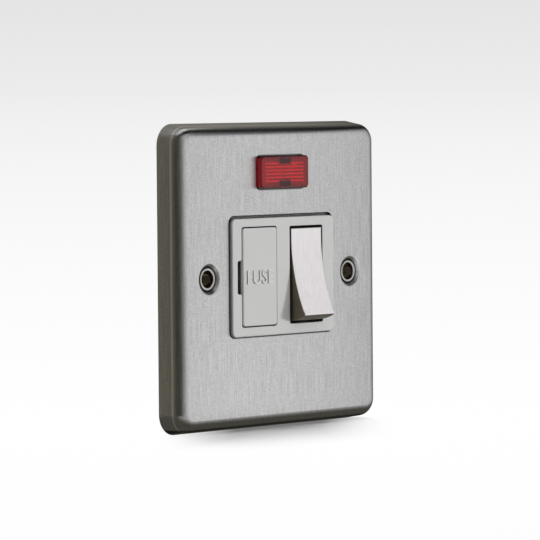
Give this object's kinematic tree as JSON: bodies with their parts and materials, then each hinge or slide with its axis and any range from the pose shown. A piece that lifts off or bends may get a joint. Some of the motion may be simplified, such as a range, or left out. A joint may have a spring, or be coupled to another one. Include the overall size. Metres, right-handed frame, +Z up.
{
  "type": "switched fused connection unit",
  "caption": "Square brushed steel wall plate with a rocker switch, a pull-out fuse carrier and a red neon lens, wired at pillar terminals behind.",
  "frame": {"origin": "centre of the plate's rear rim, on the wall plane", "axes": "+X to the right seen from the front, +Y into the wall, +Z up"},
  "size_m": [0.086, 0.032, 0.086],
  "materials": {
    "plate_steel": "vertical brushed grain, satin",
    "eyelet_nickel": "bright nickel plate",
    "grey_moulding": "fine satin moulded",
    "rocker_steel": "brushed along the rocker, satin",
    "black_moulding": "moulded",
    "housing_moulding": "moulded, slightly glossy",
    "brass": "pressed and machined brass",
    "silver_tip": "silver alloy rivet heads",
    "zinc_screw": "zinc plated",
    "fuse_ceramic": "glazed ceramic",
    "fuse_cap_nickel": "nickel plated brass",
    "lens_red": "clear red moulded, polished outside, ribbed inside",
    "lamp_glass": "clear glass",
    "resistor_body": "lacquered",
    "lead_wire": "tinned copper"
  },
  "bodies": {
    "unit": {"contact_bracket_live": "brass", "contact_bracket_neutral": "brass", "earth_strap": "brass", "eyelet_left": "eyelet_nickel", "eyelet_right": "eyelet_nickel", "fixed_contact_live": "brass", "fixed_contact_neutral": "brass", "fixed_tip_live": "silver_tip", "fixed_tip_neutral": "silver_tip", "front_moulding": "grey_moulding", "front_plate": "plate_steel", "fuse_clip_load": "brass", "fuse_clip_supply": "brass", "housing_screws": "zinc_screw", "lamp_holder": "housing_moulding", "lamp_leads": "lead_wire", "lamp_resistor": "resistor_body", "neon_lamp": "lamp_glass", "neon_lens": "lens_red", "rear_housing": "housing_moulding", "terminal_load_earth": "brass", "terminal_load_live": "brass", "terminal_load_neutral": "brass", "terminal_screws": "zinc_screw", "terminal_supply_earth": "brass", "terminal_supply_live": "brass", "terminal_supply_neutral": "brass"},
    "rocker": {"rocker_cap": "rocker_steel", "rocker_cradle": "black_moulding", "spring_live": "zinc_screw", "spring_neutral": "zinc_screw"},
    "plunger_live": {"plunger_live": "black_moulding"},
    "plunger_neutral": {"plunger_neutral": "black_moulding"},
    "contact_live": {"moving_contact_live": "brass", "moving_tip_live": "silver_tip"},
    "contact_neutral": {"moving_contact_neutral": "brass", "moving_tip_neutral": "silver_tip"},
    "carrier": {"fuse_carrier": "grey_moulding", "fuse_tube": "fuse_ceramic", "fuse_cap_upper": "fuse_cap_nickel", "fuse_cap_lower": "fuse_cap_nickel"}
  },
  "joints": [
    {"name": "rocker_turn", "type": "hinge", "parent": "unit", "child": "rocker", "pos_m": [0.0097, -0.0068, 0], "axis": [1, 0, 0], "range_deg": [0, 22.5]},
    {"name": "carrier_slide", "type": "slide", "parent": "unit", "child": "carrier", "axis": [0, -1, 0], "range_m": [0, 0.017]},
    {"name": "contact_live_tip", "type": "hinge", "parent": "unit", "child": "contact_live", "pos_m": [0.0061, 0.00652, 0], "axis": [1, 0, 0], "range_deg": [-20.25, 0]},
    {"name": "plunger_live_slide", "type": "slide", "parent": "rocker", "child": "plunger_live", "axis": [0, -0.9808, 0.1951], "range_m": [0, 0.0008], "stiffness_N_per_m": 100, "springref_m": -0.002, "deforming": ["spring_live"]},
    {"name": "contact_neutral_tip", "type": "hinge", "parent": "unit", "child": "contact_neutral", "pos_m": [0.0133, 0.00652, 0], "axis": [1, 0, 0], "range_deg": [-20.25, 0]},
    {"name": "plunger_neutral_slide", "type": "slide", "parent": "rocker", "child": "plunger_neutral", "axis": [0, -0.9808, 0.1951], "range_m": [0, 0.0008], "stiffness_N_per_m": 100, "springref_m": -0.002, "deforming": ["spring_neutral"]}
  ],
  "couplings": [
    {"joint": "contact_live_tip", "follows": "rocker_turn", "ratio": -0.9},
    {"joint": "contact_neutral_tip", "follows": "rocker_turn", "ratio": -0.9}
  ]
}
